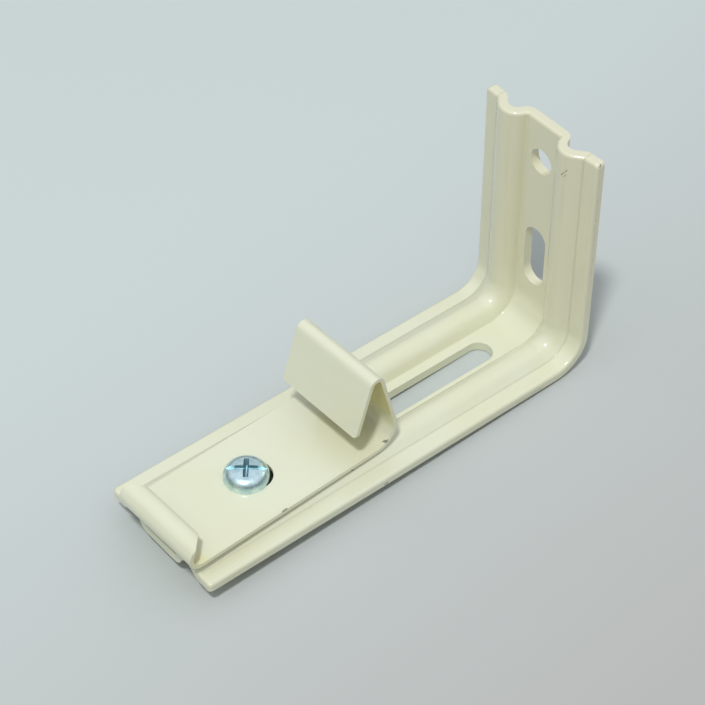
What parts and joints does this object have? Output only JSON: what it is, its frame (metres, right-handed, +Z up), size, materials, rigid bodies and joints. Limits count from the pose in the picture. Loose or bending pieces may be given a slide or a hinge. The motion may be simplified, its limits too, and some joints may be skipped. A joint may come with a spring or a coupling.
{
  "type": "vertical blind bracket",
  "caption": "L-shaped ribbed steel wall bracket with a slotted arm and a sprung rail clip clamped on top by a screw and a nut.",
  "frame": {"origin": "centre of the round screw hole in the wall leg, on the face that meets the wall", "axes": "+Y points into the wall, +Z is up, +X runs across the strip; the long arm runs out along -Y"},
  "size_m": [0.0282, 0.0889, 0.0506],
  "materials": {
    "arm_paint": "satin",
    "clip_paint": "satin",
    "screw_metal": "bright zinc",
    "nut_metal": "dull zinc"
  },
  "bodies": {
    "arm": {"bracket_arm": "arm_paint"},
    "clamp": {"clamp_screw": "screw_metal", "square_nut": "nut_metal"},
    "clip": {"rail_clip": "clip_paint"}
  },
  "joints": [
    {"name": "clamp_slide", "type": "slide", "parent": "arm", "child": "clamp", "axis": [0, 1, 0], "range_m": [-0.0054, 0.034]},
    {"name": "clip_swivel", "type": "hinge", "parent": "clamp", "child": "clip", "pos_m": [0.0006, -0.0684, -0.0345], "axis": [0, 0, 1], "continuous": true}
  ]
}
